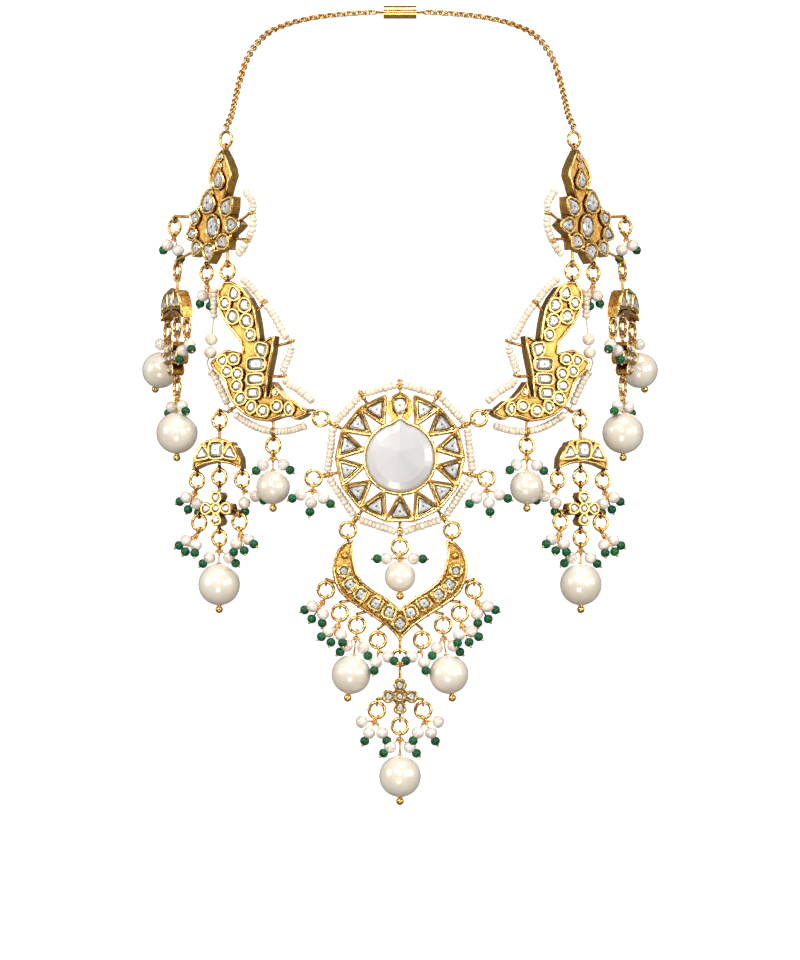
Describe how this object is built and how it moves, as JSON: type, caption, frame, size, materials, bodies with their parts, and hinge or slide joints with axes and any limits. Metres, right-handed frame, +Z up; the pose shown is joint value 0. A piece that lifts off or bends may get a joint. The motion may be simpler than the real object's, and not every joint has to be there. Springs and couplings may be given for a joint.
{
  "type": "necklace",
  "caption": "Gold kundan necklace in its worn form: stone-set medallion, crescent, birds and flowers with pearl and green bead drops on a clasped neck chain.",
  "frame": {"origin": "nape: the middle of the clasp, on the side that touches the neck", "axes": "X across the wearer, Y from the front to the back, Z up, as worn"},
  "size_m": [0.1658, 0.1059, 0.2654],
  "materials": {
    "gold": "polished",
    "clear_stone": "faceted",
    "milky_stone": "faceted",
    "large_pearl": "lustrous",
    "small_pearl": "lustrous",
    "seed_pearl": "lustrous"
  },
  "bodies": {
    "collar": {"clasp": "gold", "chain_left": "gold", "chain_right": "gold", "collar_rings": "gold", "collar_clusters": "small_pearl", "collar_pearls": "large_pearl", "flower_left": "gold", "flower_right": "gold", "flower_stones_left": "clear_stone", "flower_stones_right": "clear_stone", "flower_string_left": "seed_pearl", "flower_string_right": "seed_pearl", "bird_left": "gold", "bird_right": "gold", "bird_stones_left": "clear_stone", "bird_stones_right": "clear_stone", "bird_strings_left": "seed_pearl", "bird_strings_right": "seed_pearl", "medallion": "gold", "centre_stone": "milky_stone", "medallion_stones": "clear_stone", "medallion_string": "seed_pearl"},
    "crescent_pendant": {"crescent": "gold", "crescent_stones": "clear_stone", "crescent_rings": "gold", "crescent_clusters": "small_pearl", "crescent_pearls": "large_pearl"},
    "centre_drop": {"centre_flower": "gold", "centre_flower_stones": "clear_stone", "centre_rings": "gold", "centre_clusters": "small_pearl", "centre_pearl": "large_pearl"},
    "left_drop": {"moon_left": "gold", "moon_rosette_left": "gold", "moon_stones_left": "clear_stone", "moon_rings_left": "gold", "moon_clusters_left": "small_pearl", "moon_pearl_left": "large_pearl"},
    "right_drop": {"moon_right": "gold", "moon_rosette_right": "gold", "moon_stones_right": "clear_stone", "moon_rings_right": "gold", "moon_clusters_right": "small_pearl", "moon_pearl_right": "large_pearl"},
    "left_outer_drop": {"outer_moon_left": "gold", "outer_rosette_left": "gold", "outer_stones_left": "clear_stone", "outer_rings_left": "gold", "outer_clusters_left": "small_pearl", "outer_pearls_left": "large_pearl"},
    "right_outer_drop": {"outer_moon_right": "gold", "outer_rosette_right": "gold", "outer_stones_right": "clear_stone", "outer_rings_right": "gold", "outer_clusters_right": "small_pearl", "outer_pearls_right": "large_pearl"}
  },
  "joints": [
    {"name": "crescent_swing", "type": "hinge", "parent": "collar", "child": "crescent_pendant", "pos_m": [0, -0.095, -0.17988], "axis": [1, 0, 0], "range_deg": [-60, 60]},
    {"name": "centre_drop_swing", "type": "hinge", "parent": "crescent_pendant", "child": "centre_drop", "pos_m": [0, -0.095, -0.21979], "axis": [1, 0, 0], "range_deg": [-30, 60]},
    {"name": "left_drop_swing", "type": "hinge", "parent": "collar", "child": "left_drop", "pos_m": [-0.057, -0.08007, -0.14458], "axis": [0.8988, -0.4384, 0], "range_deg": [-60, 60]},
    {"name": "right_drop_swing", "type": "hinge", "parent": "collar", "child": "right_drop", "pos_m": [0.057, -0.08007, -0.14458], "axis": [0.8988, 0.4384, 0], "range_deg": [-60, 60]},
    {"name": "left_outer_drop_swing", "type": "hinge", "parent": "collar", "child": "left_outer_drop", "pos_m": [-0.07101, -0.06743, -0.09596], "axis": [0.4226, -0.9063, 0], "range_deg": [-60, 6]},
    {"name": "right_outer_drop_swing", "type": "hinge", "parent": "collar", "child": "right_outer_drop", "pos_m": [0.07101, -0.06743, -0.09596], "axis": [0.4226, 0.9063, 0], "range_deg": [-60, 6]}
  ]
}
